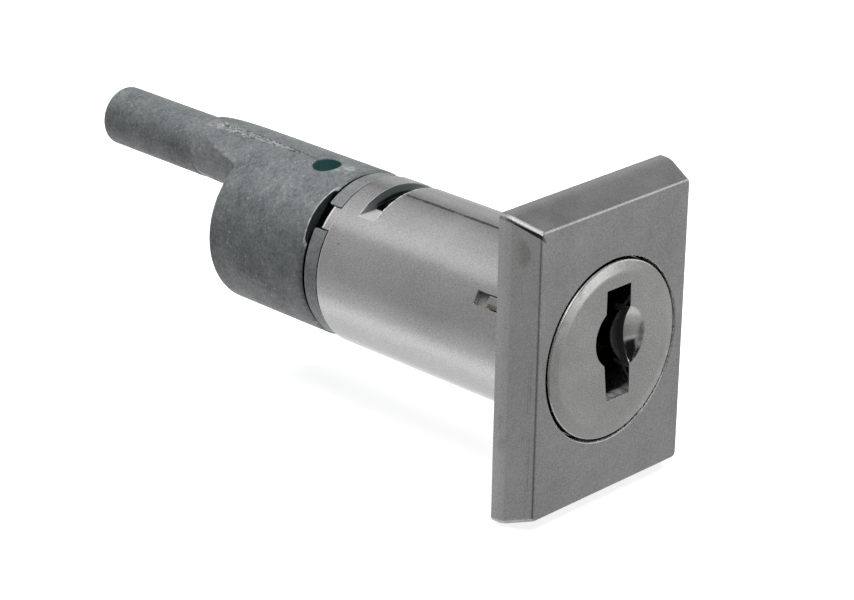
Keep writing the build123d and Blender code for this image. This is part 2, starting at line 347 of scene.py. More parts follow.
def makeLamp():
    lamp = bpy.data.lights.new("soft lamp", "AREA")
    lamp.shape = "DISK"
    lamp.size = studio["lampSize"] * mm
    lamp.energy = studio["lampPower"]
    lampObject = bpy.data.objects.new("softLamp", lamp)
    bpy.context.scene.collection.objects.link(lampObject)
    lampPlace = Vector(studio["lampPlace"]) * mm
    lampObject.location = lampPlace
    lampAim = Vector(studio["lampAim"]) * mm
    lampObject.rotation_euler = (lampAim - lampPlace).to_track_quat("-Z", "Y").to_euler()


def makeRoom():
    scene = bpy.context.scene
    scene.world = bpy.data.worlds.new("room")
    room = Finish(scene.world)
    room.tree.nodes.clear()
    x, y, z = room.parts(room.node("ShaderNodeTexCoord", output="Generated"))
    turn = room.node("ShaderNodeMath", {"operation": "ARCTAN2"}, {0: z, 1: x})
    share = room.node("ShaderNodeMath", {"operation": "FRACT"}, {0: turn * (0.5 / pi) + 1.0})
    roundTone = room.node("ShaderNodeValToRGB", {"stops": studio["roundTones"]}, {"Fac": share})
    height = z * 0.5 + 0.5
    frontTone = room.node("ShaderNodeValToRGB", {"stops": studio["frontTones"]}, {"Fac": height})
    shapes = mirrorShapes
    dark = grey(shapes["dark"])
    # in front: paler to the right, a dark shape in the middle, a dark post on the left, a bright lamp above
    right = room.between(x, *shapes["right"])
    low = right * room.window(z, *shapes["rightLow"])
    high = right * room.window(z, *shapes["rightHigh"])
    front = room.mixed(low, frontTone, grey(shapes["rightLowTone"]))
    front = room.mixed(high, front, grey(shapes["rightHighTone"]))
    darkShape = room.window(x, *shapes["darkShapeX"]) * room.window(z, *shapes["darkShapeZ"])
    front = room.mixed(darkShape, front, dark)
    post = room.window(x, *shapes["postX"]) * room.window(z, *shapes["postZ"])
    front = room.mixed(post * shapes["postStrength"], front, dark)
    towardX, towardY, towardZ = shapes["glint"]
    glint = room.between(x * towardX + y * towardY + z * towardZ, *shapes["glintEdge"])
    front = room.mixed(glint, front, grey(shapes["glintTone"]))
    towardX, towardY, towardZ = shapes["lamp"]
    lamp = room.between(x * towardX + y * towardY + z * towardZ, *shapes["lampEdge"])
    front = room.mixed(lamp, front, grey(shapes["lampTone"]))
    # at the side: a bright strip high up and a dark wall under it, and a bright wall behind
    side = room.window(y, *shapes["side"])
    strip = room.window(share, *shapes["strip"]) * side
    wall = room.window(share, *shapes["wall"]) * side
    tone = room.mixed(strip, roundTone, grey(shapes["stripTone"]))
    tone = room.mixed(wall * shapes["wallStrength"], tone, dark)
    tone = room.mixed(room.between(y, *shapes["behind"]), tone, grey(shapes["behindTone"]))
    seen = room.mixed(room.until(y, *shapes["frontToSide"]), tone, front)
    # the soft light comes from straight above and from the pale table below
    softTop = max(tone for place, tone in studio["softTones"])
    stops = [(place, tone / softTop) for place, tone in studio["softTones"]]
    softTone = room.node("ShaderNodeValToRGB", {"stops": stops}, {"Fac": height})
    white = room.node("ShaderNodeBackground", None, {"Color": (1, 1, 1), "Strength": 1.0})
    soft = room.node("ShaderNodeBackground", None, {"Color": softTone, "Strength": softTop})
    mirrored = room.node("ShaderNodeBackground", None, {"Color": seen, "Strength": 1.0})
    isGlossy = room.node("ShaderNodeLightPath", output="Is Glossy Ray")
    isCamera = room.node("ShaderNodeLightPath", output="Is Camera Ray")
    light = room.node("ShaderNodeMixShader", None, {0: isGlossy, 1: soft, 2: mirrored})
    whole = room.node("ShaderNodeMixShader", None, {0: isCamera, 1: light, 2: white})
    room.node("ShaderNodeOutputWorld", None, {"Surface": whole}, output=None)
    scene.view_settings.view_transform = "Standard"


makeFloor()
makeLamp()
makeRoom()
print("studio set")


# Modelling helpers
meshing = {
    "merge": 0.002,  # corners nearer than this become one
    "flat": 0.5,  # degrees between faces that become one
    "smooth": 32,  # degrees between faces that are shaded as one
    "normalWeight": 80,
}


def onlySelect(piece):
    if bpy.context.mode != "OBJECT":
        bpy.ops.object.mode_set(mode="OBJECT")
    bpy.ops.object.select_all(action="DESELECT")
    piece.select_set(True)
    bpy.context.view_layer.objects.active = piece


def pick(piece, kind, test):
    # in edit mode: selects the piece's faces, edges or corners that pass a test of place or normal
    bpy.ops.mesh.select_mode(type=kind)
    bpy.ops.mesh.select_all(action="DESELECT")
    mesh = bmesh.from_edit_mesh(piece.data)
    for each in {"VERT": mesh.verts, "EDGE": mesh.edges, "FACE": mesh.faces}[kind]:
        if test(each):
            each.select_set(True)
    bmesh.update_edit_mesh(piece.data)


def middle(edge):
    return (edge.verts[0].co + edge.verts[1].co) / 2 / mm


def isAt(edge, depth, radius=None, slack=0.02):
    # whether both ends of an edge lie at a depth, and at a radius round the lock's axis
    for corner in edge.verts:
        if abs(corner.co.y / mm - depth) > slack:
            return False
        if radius and abs(hypot(corner.co.x, corner.co.z) / mm - radius) > slack:
            return False
    return True


def apply(piece, kind, **settings):
    onlySelect(piece)
    modifier = piece.modifiers.new(kind.lower(), kind)
    for name, value in settings.items():
        setattr(modifier, name, value)
    bpy.ops.object.modifier_apply(modifier=modifier.name)


def smooth(piece, angle=meshing["smooth"]):
    onlySelect(piece)
    bpy.ops.object.shade_smooth_by_angle(angle=radians(angle))
    apply(piece, "WEIGHTED_NORMAL", keep_sharp=True, weight=meshing["normalWeight"])


def copyNode(node, name):
    onlySelect(nodes[node])
    bpy.ops.object.duplicate()
    piece = bpy.context.object
    bpy.ops.object.parent_clear(type="CLEAR_KEEP_TRANSFORM")
    piece.name = name
    bpy.ops.object.mode_set(mode="EDIT")
    bpy.ops.mesh.select_all(action="SELECT")
    bpy.ops.mesh.customdata_custom_splitnormals_clear()
    bpy.ops.mesh.remove_doubles(threshold=meshing["merge"] * mm)
    bpy.ops.mesh.dissolve_limited(angle_limit=radians(meshing["flat"]))
    bpy.ops.object.mode_set(mode="OBJECT")
    return piece


def roundEdges(piece, width, sharp=30):
    settings = {"width": width * mm, "segments": 3, "limit_method": "ANGLE", "angle_limit": radians(sharp)}
    apply(piece, "BEVEL", use_clamp_overlap=False, harden_normals=False, **settings)


def place(piece, body, node, slot):
    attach(piece, body)
    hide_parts(node)
    dressed[node] = piece


# Front plate: a straight rim next to the panel, sloping sides and a round opening
facePlate = {
    "rim": 1.2,
    "slopeInset": 1.15,
    "cornerRound": 0.58,
    "shoulderRound": 0.55,
    "edgeRound": 0.24,
    "opening": 10.0,
    "collar": 9.55,
    "collarDepth": 2.0,
    "openingRound": 0.18,
    "sides": 256,
}
clipTab = {
    "angles": (150, 30),
    "inner": 8.75,
    "outer": 9.5,
    "width": 1.3,
    "root": 2.0,
    "rootLift": 0.12,
    "round": 0.12,
}


def cutRound(piece, radius, front, rear):
    settings = {"vertices": facePlate["sides"], "radius": radius * mm, "depth": (rear - front) * mm}
    middlePlace = (0, (front + rear) / 2 * mm, 0)
    bpy.ops.mesh.primitive_cylinder_add(location=middlePlace, rotation=(pi / 2, 0, 0), **settings)
    cutter = bpy.context.object
    apply(piece, "BOOLEAN", operation="DIFFERENCE", solver="EXACT", object=cutter)
    bpy.data.objects.remove(cutter)


def makeClipTab(angle, reach):
    tab = clipTab
    size = ((tab["outer"] - tab["inner"]) * mm, reach * mm, tab["width"] * mm)
    middlePlace = ((tab["inner"] + tab["outer"]) / 2 * mm, reach / 2 * mm, 0)
    bpy.ops.mesh.primitive_cube_add(size=1, location=middlePlace, scale=size)
    piece = bpy.context.object
    bpy.ops.object.transform_apply(location=True, rotation=True, scale=True)
    bpy.ops.object.mode_set(mode="EDIT")
    pick(piece, "FACE", lambda face: face.normal.y < -0.9)
    bpy.ops.mesh.extrude_region_move(TRANSFORM_OT_translate={"value": (0, -tab["root"] * mm, 0)})
    pick(piece, "VERT", lambda corner: corner.co.y < -mm and corner.co.x / mm > tab["outer"] - 0.1)
    bpy.ops.transform.translate(value=(tab["rootLift"] * mm, 0, 0))
    bpy.ops.mesh.select_all(action="SELECT")
    bpy.ops.mesh.bevel(offset=tab["round"] * mm, segments=3, affect="EDGES")
    bpy.ops.object.mode_set(mode="OBJECT")
    piece.rotation_euler = (0, -radians(angle), 0)
    bpy.ops.object.transform_apply(location=False, rotation=True, scale=False)
    return piece


def makeFacePlate():
    plate = facePlate
    low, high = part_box("rosette")
    wide, tall, front = high[0] - low[0], high[2] - low[2], low[1]
    rim = plate["rim"] * mm
    inset = 2 * plate["slopeInset"] * mm
    bpy.ops.mesh.primitive_cube_add(size=1, location=(0, -rim / 2, 0), scale=(wide, rim, tall))
    piece = bpy.context.object
    piece.name = "facePlate"
    bpy.ops.object.transform_apply(location=True, rotation=True, scale=True)
    bpy.ops.object.mode_set(mode="EDIT")
    pick(piece, "FACE", lambda face: face.normal.y < -0.9)
    bpy.ops.mesh.extrude_region_move(TRANSFORM_OT_translate={"value": (0, front + rim, 0)})
    bpy.ops.transform.resize(value=((wide - inset) / wide, 1, (tall - inset) / tall), center_override=(0, 0, 0))
    pick(piece, "EDGE", lambda edge: abs(edge.verts[0].co.y - edge.verts[1].co.y) > 0.5 * mm)
    bpy.ops.mesh.bevel(offset=plate["cornerRound"] * mm, segments=5, affect="EDGES")
    pick(piece, "EDGE", lambda edge: isAt(edge, -plate["rim"], slack=0.1))
    bpy.ops.mesh.bevel(offset=plate["shoulderRound"] * mm, segments=4, affect="EDGES")
    pick(piece, "EDGE", lambda edge: isAt(edge, front / mm, slack=0.01))
    bpy.ops.mesh.bevel(offset=plate["edgeRound"] * mm, segments=4, affect="EDGES")
    bpy.ops.object.mode_set(mode="OBJECT")
    cutRound(piece, plate["opening"], front / mm - 1, -plate["collarDepth"])
    cutRound(piece, plate["collar"], -plate["collarDepth"] - 1, 1)
    bpy.ops.object.mode_set(mode="EDIT")
    pick(piece, "EDGE", lambda edge: isAt(edge, front / mm, plate["opening"]))
    bpy.ops.mesh.bevel(offset=plate["openingRound"] * mm, segments=3, affect="EDGES")
    bpy.ops.object.mode_set(mode="OBJECT")
    tabs = [makeClipTab(angle, high[1] / mm) for angle in clipTab["angles"]]
    onlySelect(piece)
    for tab in tabs:
        tab.select_set(True)
    bpy.ops.object.join()
    smooth(piece)
    place(piece, "lock_body", "rosette", "plate_nickel")


# Barrel, ring, core and driver keep their CAD shapes, with every edge rounded as plating and casting leave it
softEdges = {
    "barrel": 0.07,
    "ring": 0.10,
    "driver": 0.12,
    "driverSharp": 38,  # degrees
    "rootEnd": 56.0,  # the cone's small end stays sharp
    "faceSmooth": 38,
    "keyway": 0.07,
    "keywaySharp": 32,
    "mouthDepth": -3.4,
    "mouthRadius": 8,
    "headRound": 0.17,
    "headRadius": 9.7,
    "headShoulder": -4.72,
    "headFront": -4.97,
    "bevelRadius": 8.4,
    "bevelRound": 0.22,
}


def makeBarrel():
    piece = copyNode("housing", "platedBarrel")
    roundEdges(piece, softEdges["barrel"])
    smooth(piece)
    place(piece, "lock_body", "housing", "barrel_nickel")


def makeRing():
    piece = copyNode("stop_ring", "notchedRing")
    roundEdges(piece, softEdges["ring"])
    smooth(piece)
    place(piece, "lock_body", "stop_ring", "ring_metal")


def isMouth(edge):
    # a sharp edge of the keyway or of the finger dish, in the round face
    spot = middle(edge)
    isInFace = spot.y < softEdges["mouthDepth"] and hypot(spot.x, spot.z) < softEdges["mouthRadius"]
    return isInFace and edge.calc_face_angle(0) > radians(softEdges["keywaySharp"])


def makeKeyedFace():
    piece = copyNode("lock_core", "keyedFace")
    soft = softEdges
    bpy.ops.object.mode_set(mode="EDIT")
    pick(piece, "EDGE", lambda edge: isAt(edge, soft["headShoulder"], soft["headRadius"]))
    bpy.ops.mesh.bevel(offset=soft["headRound"] * mm, segments=6, affect="EDGES")
    pick(piece, "EDGE", lambda edge: isAt(edge, soft["headFront"], soft["bevelRadius"], 0.04))
    bpy.ops.mesh.bevel(offset=soft["bevelRound"] * mm, segments=4, affect="EDGES")
    pick(piece, "EDGE", isMouth)
    bpy.ops.mesh.bevel(offset=soft["keyway"] * mm, segments=2, affect="EDGES", clamp_overlap=True)
    bpy.ops.object.mode_set(mode="OBJECT")
    smooth(piece, soft["faceSmooth"])
    place(piece, "turning_group", "lock_core", "face_nickel")


def makeDriver():
    piece = copyNode("driver", "castDriver")
    soft = softEdges
    sharp = radians(soft["driverSharp"])
    awayFromCone = lambda edge: abs(middle(edge).y - soft["rootEnd"]) > 0.3
    bpy.ops.object.mode_set(mode="EDIT")
    pick(piece, "EDGE", lambda edge: edge.calc_face_angle(0) > sharp and awayFromCone(edge))
    bpy.ops.mesh.bevel(offset=soft["driver"] * mm, segments=3, affect="EDGES")
    bpy.ops.object.mode_set(mode="OBJECT")
    smooth(piece)
    place(piece, "turning_group", "driver", "raw_zinc")


# Casting seam: the rough band that the mould leaves on top of the driver, wider towards the pin
castSeam = {
    "front": 38.6,
    "rear": 55.6,
    "frontPlace": -0.5,
    "rearPlace": -0.75,
    "frontWidth": 0.35,
    "rearWidth": 2.5,
    "cuts": 90,
    "sink": 0.05,
    "lift": 0.26,
    "grain": 0.45,
    "contrast": 1.8,
    "sideFade": 3.0,
    "endFade": 8,
    "thickness": 0.25,
    "smoothing": 50,
    "above": 11,  # where the band starts, before it is dropped on the driver
}


def makeSeam():
    seam = castSeam
    long = seam["rear"] - seam["front"]
    middlePlace = (0, (seam["front"] + seam["rear"]) / 2 * mm, seam["above"] * mm)
    bpy.ops.mesh.primitive_plane_add(size=1, location=middlePlace)
    piece = bpy.context.object
    piece.name = "castSeam"
    piece.scale = (1 * mm, long * mm, 1)
    bpy.ops.object.transform_apply(location=True, rotation=True, scale=True)
    bpy.ops.object.mode_set(mode="EDIT")
    for end in ("front", "rear"):
        pick(piece, "EDGE", lambda edge: abs(middle(edge).y - seam[end]) < 0.1)
        bpy.ops.transform.resize(value=(seam[end + "Width"], 1, 1), center_override=(0, 0, 0))
        bpy.ops.transform.translate(value=(seam[end + "Place"] * mm, 0, 0))
    bpy.ops.mesh.select_all(action="SELECT")
    bpy.ops.mesh.subdivide(number_cuts=seam["cuts"])
    bpy.ops.object.mode_set(mode="OBJECT")
    inner = piece.vertex_groups.new(name="inner")
    for corner in piece.data.vertices:
        along = (corner.co.y / mm - seam["front"]) / long
        width = seam["frontWidth"] + along * (seam["rearWidth"] - seam["frontWidth"])
        centre = seam["frontPlace"] + along * (seam["rearPlace"] - seam["frontPlace"])
        across = 1 - abs(corner.co.x / mm - centre) / (width / 2)
        weight = min(1.0, seam["sideFade"] * across, seam["endFade"] * along, seam["endFade"] * (1 - along))
        inner.add([corner.index], max(0.0, weight), "REPLACE")
    down = {"use_project_z": True, "use_negative_direction": True, "use_positive_direction": False}
    settings = {"target": dressed["driver"], "offset": -seam["sink"] * mm, **down}
    apply(piece, "SHRINKWRAP", wrap_method="PROJECT", **settings)
    rough = bpy.data.textures.new("seamGrain", "CLOUDS")
    rough.noise_scale = seam["grain"] * mm
    rough.noise_depth = 3
    rough.contrast = seam["contrast"]
    settings = {"texture": rough, "strength": seam["lift"] * mm, "mid_level": 0.1}
    apply(piece, "DISPLACE", vertex_group="inner", direction="Z", **settings)
    apply(piece, "SOLIDIFY", thickness=seam["thickness"] * mm, offset=-1)
    onlySelect(piece)
    bpy.ops.object.shade_smooth_by_angle(angle=radians(seam["smoothing"]))
    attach(piece, "turning_group")
    return piece


# The retaining spring: a smoothed copy of its CAD node, with a mesh of its own
retainerCoil = {
    "travel": 0.35,
    "smoothing": 50,
}


def makeRetainerCoil():
    piece = copyNode("retaining_spring", "retainerCoil")
    smooth(piece, retainerCoil["smoothing"])
    place(piece, "turning_group", "retaining_spring", "spring_steel")
    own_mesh(piece)


makeFacePlate()
print("front plate made")
makeBarrel()
makeRing()
makeKeyedFace()
makeDriver()
print("edges rounded")
makeRetainerCoil()
print("retaining spring made")
seamPiece = makeSeam()
print("casting seam made")


# Finishes. Places are in mm. Two numbers are a point, where two axes are named, or else where a soft step
# starts and ends. Three numbers are a colour, or else a band and how soft its sides are.
plating = {
    "plateTone": (0.498, 0.502, 0.497),
    "barrelTone": (0.60, 0.60, 0.60),
    "faceTone": (0.60, 0.60, 0.592),
    "dullest": 0.79,  # shares of the tone in the dullest and the palest grains
    "palest": 1.11,
    "grainSize": 0.20,
    "dustSize": 0.17,
    "dustShare": 0.75,  # the rest of the mottling is the cloudy patches
    "mottling": (0.34, 0.66),
    "speckles": (0.42, 0.30),
    "speckleStrength": 0.14,
    "pitSpacing": 1.7,
    "pitRadius": (0.03, 0.09),  # as a share of the spacing
    "pitPatches": (0.57, 0.7),
    "pitStrength": 0.6,
    "bumpStrength": 0.35,
    "stain": (0.14, 0.11, 0.075),
    "dark": (0.04, 0.04, 0.04),
    # black for painted shade where the barrel opens onto the inside
    "paintedVoidShade": (0.004, 0.004, 0.004),
    "shade": (0.10, 0.14, 0.145),
    "shadeTop": (0.22, 0.26, 0.265),
    # pale colour for the keyway floor's painted highlight
    "paintedKeyway": (0.46, 0.47, 0.46),
    # dark grey for the rib's painted shade
    "rib": (0.085, 0.085, 0.09),
    # pale colour for painted highlights
    "paintedHighlight": (0.88, 0.88, 0.87),
    "groove": (0.40, 0.39, 0.37),
    "slotFloor": (0.56, 0.56, 0.55),
}


def platedFinish(name, tone, rough, patch, grainDepth):
    # satin nickel: fine grain, cloudy patches and small dark pits
    plate = newFinish(name)
    cloud = plate.noise(patch, 4.0, 0.6)
    grain = plate.noise(plating["grainSize"], 2.0, 0.6)
    dust = plate.noise(plating["dustSize"], 3.0, 0.7, shift=(3, 8, 2))
    pits = plate.until(plate.cells(plating["pitSpacing"]), *plating["pitRadius"])
    pits = pits * plate.between(plate.noise(5.0), *plating["pitPatches"])
    low, high = (tuple(plating[share] * each for each in tone) for share in ("dullest", "palest"))
    mottle = dust * plating["dustShare"] + cloud * (1 - plating["dustShare"])
    mottled = plate.mixed(plate.between(mottle, *plating["mottling"]), low, high)
    speckles = plate.between(grain, *plating["speckles"]) * plating["speckleStrength"]
    speckled = plate.mixed(speckles, mottled, plating["dark"])
    colour = plate.mixed(pits * plating["pitStrength"], speckled, plating["dark"])
    normal = plate.bump(grain * 0.6 + pits * -1.0, plating["bumpStrength"], grainDepth * mm)
    roughness = plate.between(cloud, 0.3, 0.7, rough - 0.03, rough + 0.04)
    return plate, colour, roughness, normal


plateMarks = {
    "slope": (-11.3, -11.5),  # x, on the left slope
    "streaks": ((-4.06, -4.01, 0.06), (-3.82, -3.78, 0.05)),  # y
    "streakEdge": (-11.15, -11.3),  # x
    "streakTop": (4.0, -3.0),  # z
    "streakStrength": 0.55,
    "blotchSize": 2.4,
    "blotchEdge": (0.60, 0.72),
    "blotchStrength": 0.22,
    "largeBlotch": (-2.75, 13.4),  # y, z
    "largeBlotchRim": (0.25, 0.95, 0.3),
    "largeBlotchTop": (-2.0, -3.1),  # y
    "largeBlotchStrength": 0.30,
    "tabDepth": (0.3, 0.5),  # y
    "tabDown": (-0.5, -0.866),  # x, z of the way down across the clip tab
    "tabEdge": (0.10, 0.35),
    "tabStrength": 0.7,
    # painted shade on the slopes: where it lies, and how strong it is on the left slope
    "slopeShade": (-4.45, -1.7, 0.15),  # y
    "slopeShadeStrength": 0.12,
    "mitre": (4.5, -0.42),  # z + x on the upper left corner's edge, and how far off it the dark line lies
    # y where the dark line beside the corner's edge lies, and its strength
    "cornerLine": (-4.62, -1.9, 0.2),  # y
    "cornerLineStrength": 0.95,
    "openingWall": (10.03, 10.08),  # radius
    "openingEnd": (-1.9, -1.8),  # y
    "wallDarkness": 0.9,
    # y where the opening's wall gets its painted highlight
    "mouthHighlight": (-4.2, -4.45),  # y
}


def finishPlate():
    plate, colour, roughness, normal = platedFinish("plateNickel", plating["plateTone"], 0.25, 7.0, 0.012)
    x, y, z = plate.axes()
    marks = plateMarks
    onSlope = plate.between(x, *marks["slope"])
    # two thin brown streaks run down the left slope
    strong, weak = (plate.window(y, *band) for band in marks["streaks"])
    thin = strong.most(weak * 0.7)
    streak = plate.between(x, *marks["streakEdge"]) * plate.between(z, *marks["streakTop"]) * thin
    streak = streak * plate.between(plate.noise(0.8, 4.0, 0.65, (1, 1, 0.25)), 0.42, 0.58)
    # a few brown blotches, the largest below the upper corner and darkest along its lower edge
    patches = plate.noise(marks["blotchSize"], 3.0, 0.6, (1, 1, 0.6), (7, 3, 1))
    blotch = onSlope * plate.between(patches, *marks["blotchEdge"])
    depth, height = marks["largeBlotch"]
    away = ((y - depth) ** 2.0 + ((z - height) * 0.62) ** 2.0) ** 0.5 + plate.noise(0.9, 3.0, 0.6) * 0.5
    hung = plate.window(away, *marks["largeBlotchRim"]) * onSlope
    hung = hung * plate.between(y, *marks["largeBlotchTop"], 0.35, 1.0)
    # and one on the clip tab's lower edge
    downX, downZ = marks["tabDown"]
    tab = plate.between(y, *marks["tabDepth"]) * plate.between(x * downX + z * downZ, *marks["tabEdge"])
    tab = tab * plate.between(plate.noise(0.9), 0.4, 0.55)
    brown = (streak * marks["streakStrength"]).most(blotch * marks["blotchStrength"])
    brown = brown.most(tab * marks["tabStrength"]).most(hung * marks["largeBlotchStrength"])
    stained = plate.mixed(brown, colour, plating["stain"])
    # the slopes get a little painted shade, the left slope the most, and a thin dark line is painted beside the
    # upper left corner's edge
    slopeShade = plate.window(y, *marks["slopeShade"]) * plate.between(x, -11.0, -11.2, 0.02, marks["slopeShadeStrength"])
    shadePainted = plate.mixed(slopeShade, stained, plating["dark"])
    corner, aside = marks["mitre"]
    reach = plate.between(y, -1.8, -4.5, 0.06, 0.20)
    cornerLine = plate.until((z + x - corner).off(aside), reach, reach + 0.08) * plate.window(y, *marks["cornerLine"])
    cornerLine = cornerLine * plate.between(x, -10.5, -11.0) * marks["cornerLineStrength"]
    cornerLined = plate.mixed(cornerLine, shadePainted, plating["dark"])
    # painted highlight and painted shade: the opening's wall is painted bright next to the front and dark
    # deeper in
    radius = (x * x + z * z) ** 0.5
    opening = plate.until(radius, *marks["openingWall"]) * plate.until(y, *marks["openingEnd"])
    mouth = opening * plate.between(y, *marks["mouthHighlight"])
    sparkle = plate.between(plate.noise(0.35, 2.0, 0.6), 0.42, 0.60, 0.45, 1.0)
    darkened = plate.mixed(opening * marks["wallDarkness"], cornerLined, plating["dark"])
    lit = plate.mixed(mouth * sparkle, darkened, plating["paintedHighlight"])
    wear(["rosette"], plate.show(lit, roughness + mouth * 0.3, 1.0 - mouth * 0.7, normal))


barrelMarks = {
    "slotRear": (26.32, 26.48, 0.04),  # y of the slot's rear wall
    "wallRadius": (9.30, 9.36),
    "wallFade": (8.15, 9.2),  # radius, from the deep shade to the paler one
    "slotBottom": (7.44, 7.56, 0.03),  # z of its milled floor
    "slotSpan": (24.0, 26.35, 0.05),  # y of that floor
    "floorRadius": (7.5, 7.6),
    "coreHalf": (2.95, 3.1),  # x, where the slot shows the inside
    "coreRadius": (8.52, 8.62),
    "bore": (8.45, 8.55),  # radius
    "boreTop": (7.3, 7.45),  # z
    "joint": (29.11, 29.2, 0.03),  # y of the line before the ring
    "jointRadius": (9.36, 9.42),
    "darkness": 0.92,
    "reflectionLinePlace": -1.03,  # x of the painted dark reflection line
    "reflectionLineHalf": (0.09, 0.26),
    "reflectionLineRagged": 0.42,
    "reflectionLineHeight": (9.0, 9.2),  # z
    "reflectionLineEnd": (23.9, 23.5),  # y
    "groove": (8.60, 8.72, 0.03),  # radius of the floor of the clips' grooves
    "grooveSpan": ((-0.1, 0.1), (6.95, 7.05)),  # y
    "lugEdge": (29.86, 30.0),  # y
    "lugRadius": (9.0, 9.1),
    "slotLip": (23.95, 24.07, 0.03),  # y
    "lipHeight": (7.5, 7.7),  # z
    # strength of the painted highlights on the lug's edge and the slot's lip
    "highlightStrength": 0.9,
}


def finishHousing():
    barrel, colour, roughness, normal = platedFinish("barrelNickel", plating["barrelTone"], 0.22, 9.0, 0.012)
    x, y, z = barrel.axes()
    radius = (x * x + z * z) ** 0.5
    marks = barrelMarks
    # painted shade: the slot's rear wall is dull and shaded, paler towards its top, the core seen through it is
    # painted black and the bore dark; the joint with the ring is dark
    rearWall = barrel.window(y, *marks["slotRear"]) * barrel.until(radius, *marks["wallRadius"])
    wallTone = barrel.mixed(barrel.between(radius, *marks["wallFade"]), plating["shade"], plating["shadeTop"])
    shadePainted = barrel.mixed(rearWall, colour, wallTone)
    inside = barrel.until(x.off(0.0), *marks["coreHalf"])
    empty = rearWall * inside * barrel.until(radius, *marks["coreRadius"])
    shadePainted = barrel.mixed(empty, shadePainted, plating["paintedVoidShade"])
    bore = barrel.until(radius, *marks["bore"]) * barrel.until(z, *marks["boreTop"])
    joint = barrel.window(y, *marks["joint"]) * barrel.until(radius, *marks["jointRadius"])
    darkened = barrel.mixed(bore.most(joint) * marks["darkness"], shadePainted, plating["dark"])
    # the milled floor of the slot is bare and scatters the light; where it opens onto the core it is painted
    # black as shade
    floor = barrel.window(z, *marks["slotBottom"]) * barrel.window(y, *marks["slotSpan"])
    floor = floor * barrel.between(radius, *marks["floorRadius"])
    milled = barrel.mixed(floor, darkened, barrel.mixed(inside, plating["slotFloor"], plating["paintedVoidShade"]))
    # a painted dark reflection line along the top
    ragged = barrel.noise(0.45, 3.0, 0.65) * marks["reflectionLineRagged"]
    paintedReflectionLine = barrel.until((x + ragged).off(marks["reflectionLinePlace"]), *marks["reflectionLineHalf"])
    paintedReflectionLine = paintedReflectionLine * barrel.between(z, *marks["reflectionLineHeight"]) * barrel.between(y, *marks["reflectionLineEnd"])
    strength = barrel.between(barrel.noise(0.9, 2.0, 0.6), 0.36, 0.5, 0.35, 0.85)
    lined = barrel.mixed(paintedReflectionLine * strength, milled, plating["dark"])
    # the pale floor of the clips' grooves
    groove = barrel.window(radius, *marks["groove"])
    grooveStart, grooveEnd = marks["grooveSpan"]
    groove = groove * barrel.until(y, *grooveEnd) * barrel.between(y, *grooveStart)
    grooved = barrel.mixed(groove, lined, plating["groove"])
    # painted highlights: the rear edge of the lug and the front edge of the slot
    lugEdge = barrel.between(y, *marks["lugEdge"]) * barrel.between(radius, *marks["lugRadius"])
    lip = barrel.window(y, *marks["slotLip"]) * barrel.between(z, *marks["lipHeight"])
    edgeHighlight = lugEdge.most(lip * barrel.between(barrel.noise(0.5), 0.4, 0.6))
    shiny = barrel.mixed(edgeHighlight * marks["highlightStrength"], grooved, plating["paintedHighlight"])
    rough = floor.most(rearWall).most(edgeHighlight).most(groove)
    wear(["housing"], barrel.show(shiny, roughness + rough * 0.3, 1.0 - rough * 0.8, normal))


faceMarks = {
    "lowPart": (-2.5, -4.5),  # z where the keyway's shade starts deeper
    "shadeAbove": (-4.57, -2.9),  # y
    "shadeBelow": (-3.5, 0.2),  # y
    "headSide": (9.5, 9.66),  # radius
    "headDepth": (-4.55, -4.35),  # y
    "darkness": 0.95,
    "cutter": (-9.87, 0.7),  # y, z of the cutter that milled the rib's front
    "cutterRadius": 6.7,
    "cutterEdge": (0.10, 0.16),
    "ribSpan": (1.35, 2.75, 0.1),  # x
    "wall": (0.0321, 2.5215),  # lean and place of the keyway's right wall
    "wallEdge": (0.03, 0.06),
    "wallSpan": (3.2, 3.5),  # how far above and below the cutter the wall's strip ends
    "wallDepth": (-2.9, -2.7),  # y
    "sill": (-5.63, -5.52, 0.06),  # z of the keyway's floor
    "sillSpan": (-1.0, 2.8, 0.1),  # x
    "sillDepth": (-4.0, -3.2),  # y
    "flatFront": (-4.94, -4.90),  # y just behind the flat of the face
    "dish": (1.25, 0.9),  # x, z
    "dishRadius": (3.4, 3.6),
    "dishFront": (-4.94, -4.87),  # y
    "dishPolish": 0.55,
}


